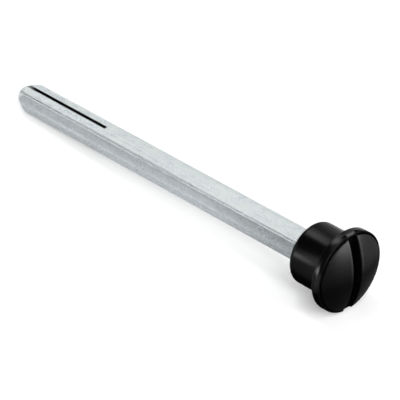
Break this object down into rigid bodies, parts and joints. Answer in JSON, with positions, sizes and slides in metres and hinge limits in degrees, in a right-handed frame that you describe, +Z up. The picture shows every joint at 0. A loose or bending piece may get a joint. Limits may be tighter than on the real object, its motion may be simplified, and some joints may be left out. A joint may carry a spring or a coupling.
{
  "type": "door handle spindle",
  "caption": "Square steel spindle with a split, pointed free end and a round black plastic head with a coin slot, for turning a door latch from one side.",
  "frame": {"origin": "on the surface that the part lies on, below the middle of its bounding box", "axes": "+Z up from the surface, +X from the bar's tip towards the head, +Y across the bar; the bar's axis is in the XZ plane and rises towards the head by about 3.8 degrees"},
  "size_m": [0.1562, 0.0274, 0.0276],
  "materials": {
    "bar_steel": "drawn, zinc plated, satin",
    "head_plastic": "moulded, satin black"
  },
  "bodies": {
    "root": {"spindle_bar": "bar_steel", "slotted_head": "head_plastic"}
  },
  "joints": []
}
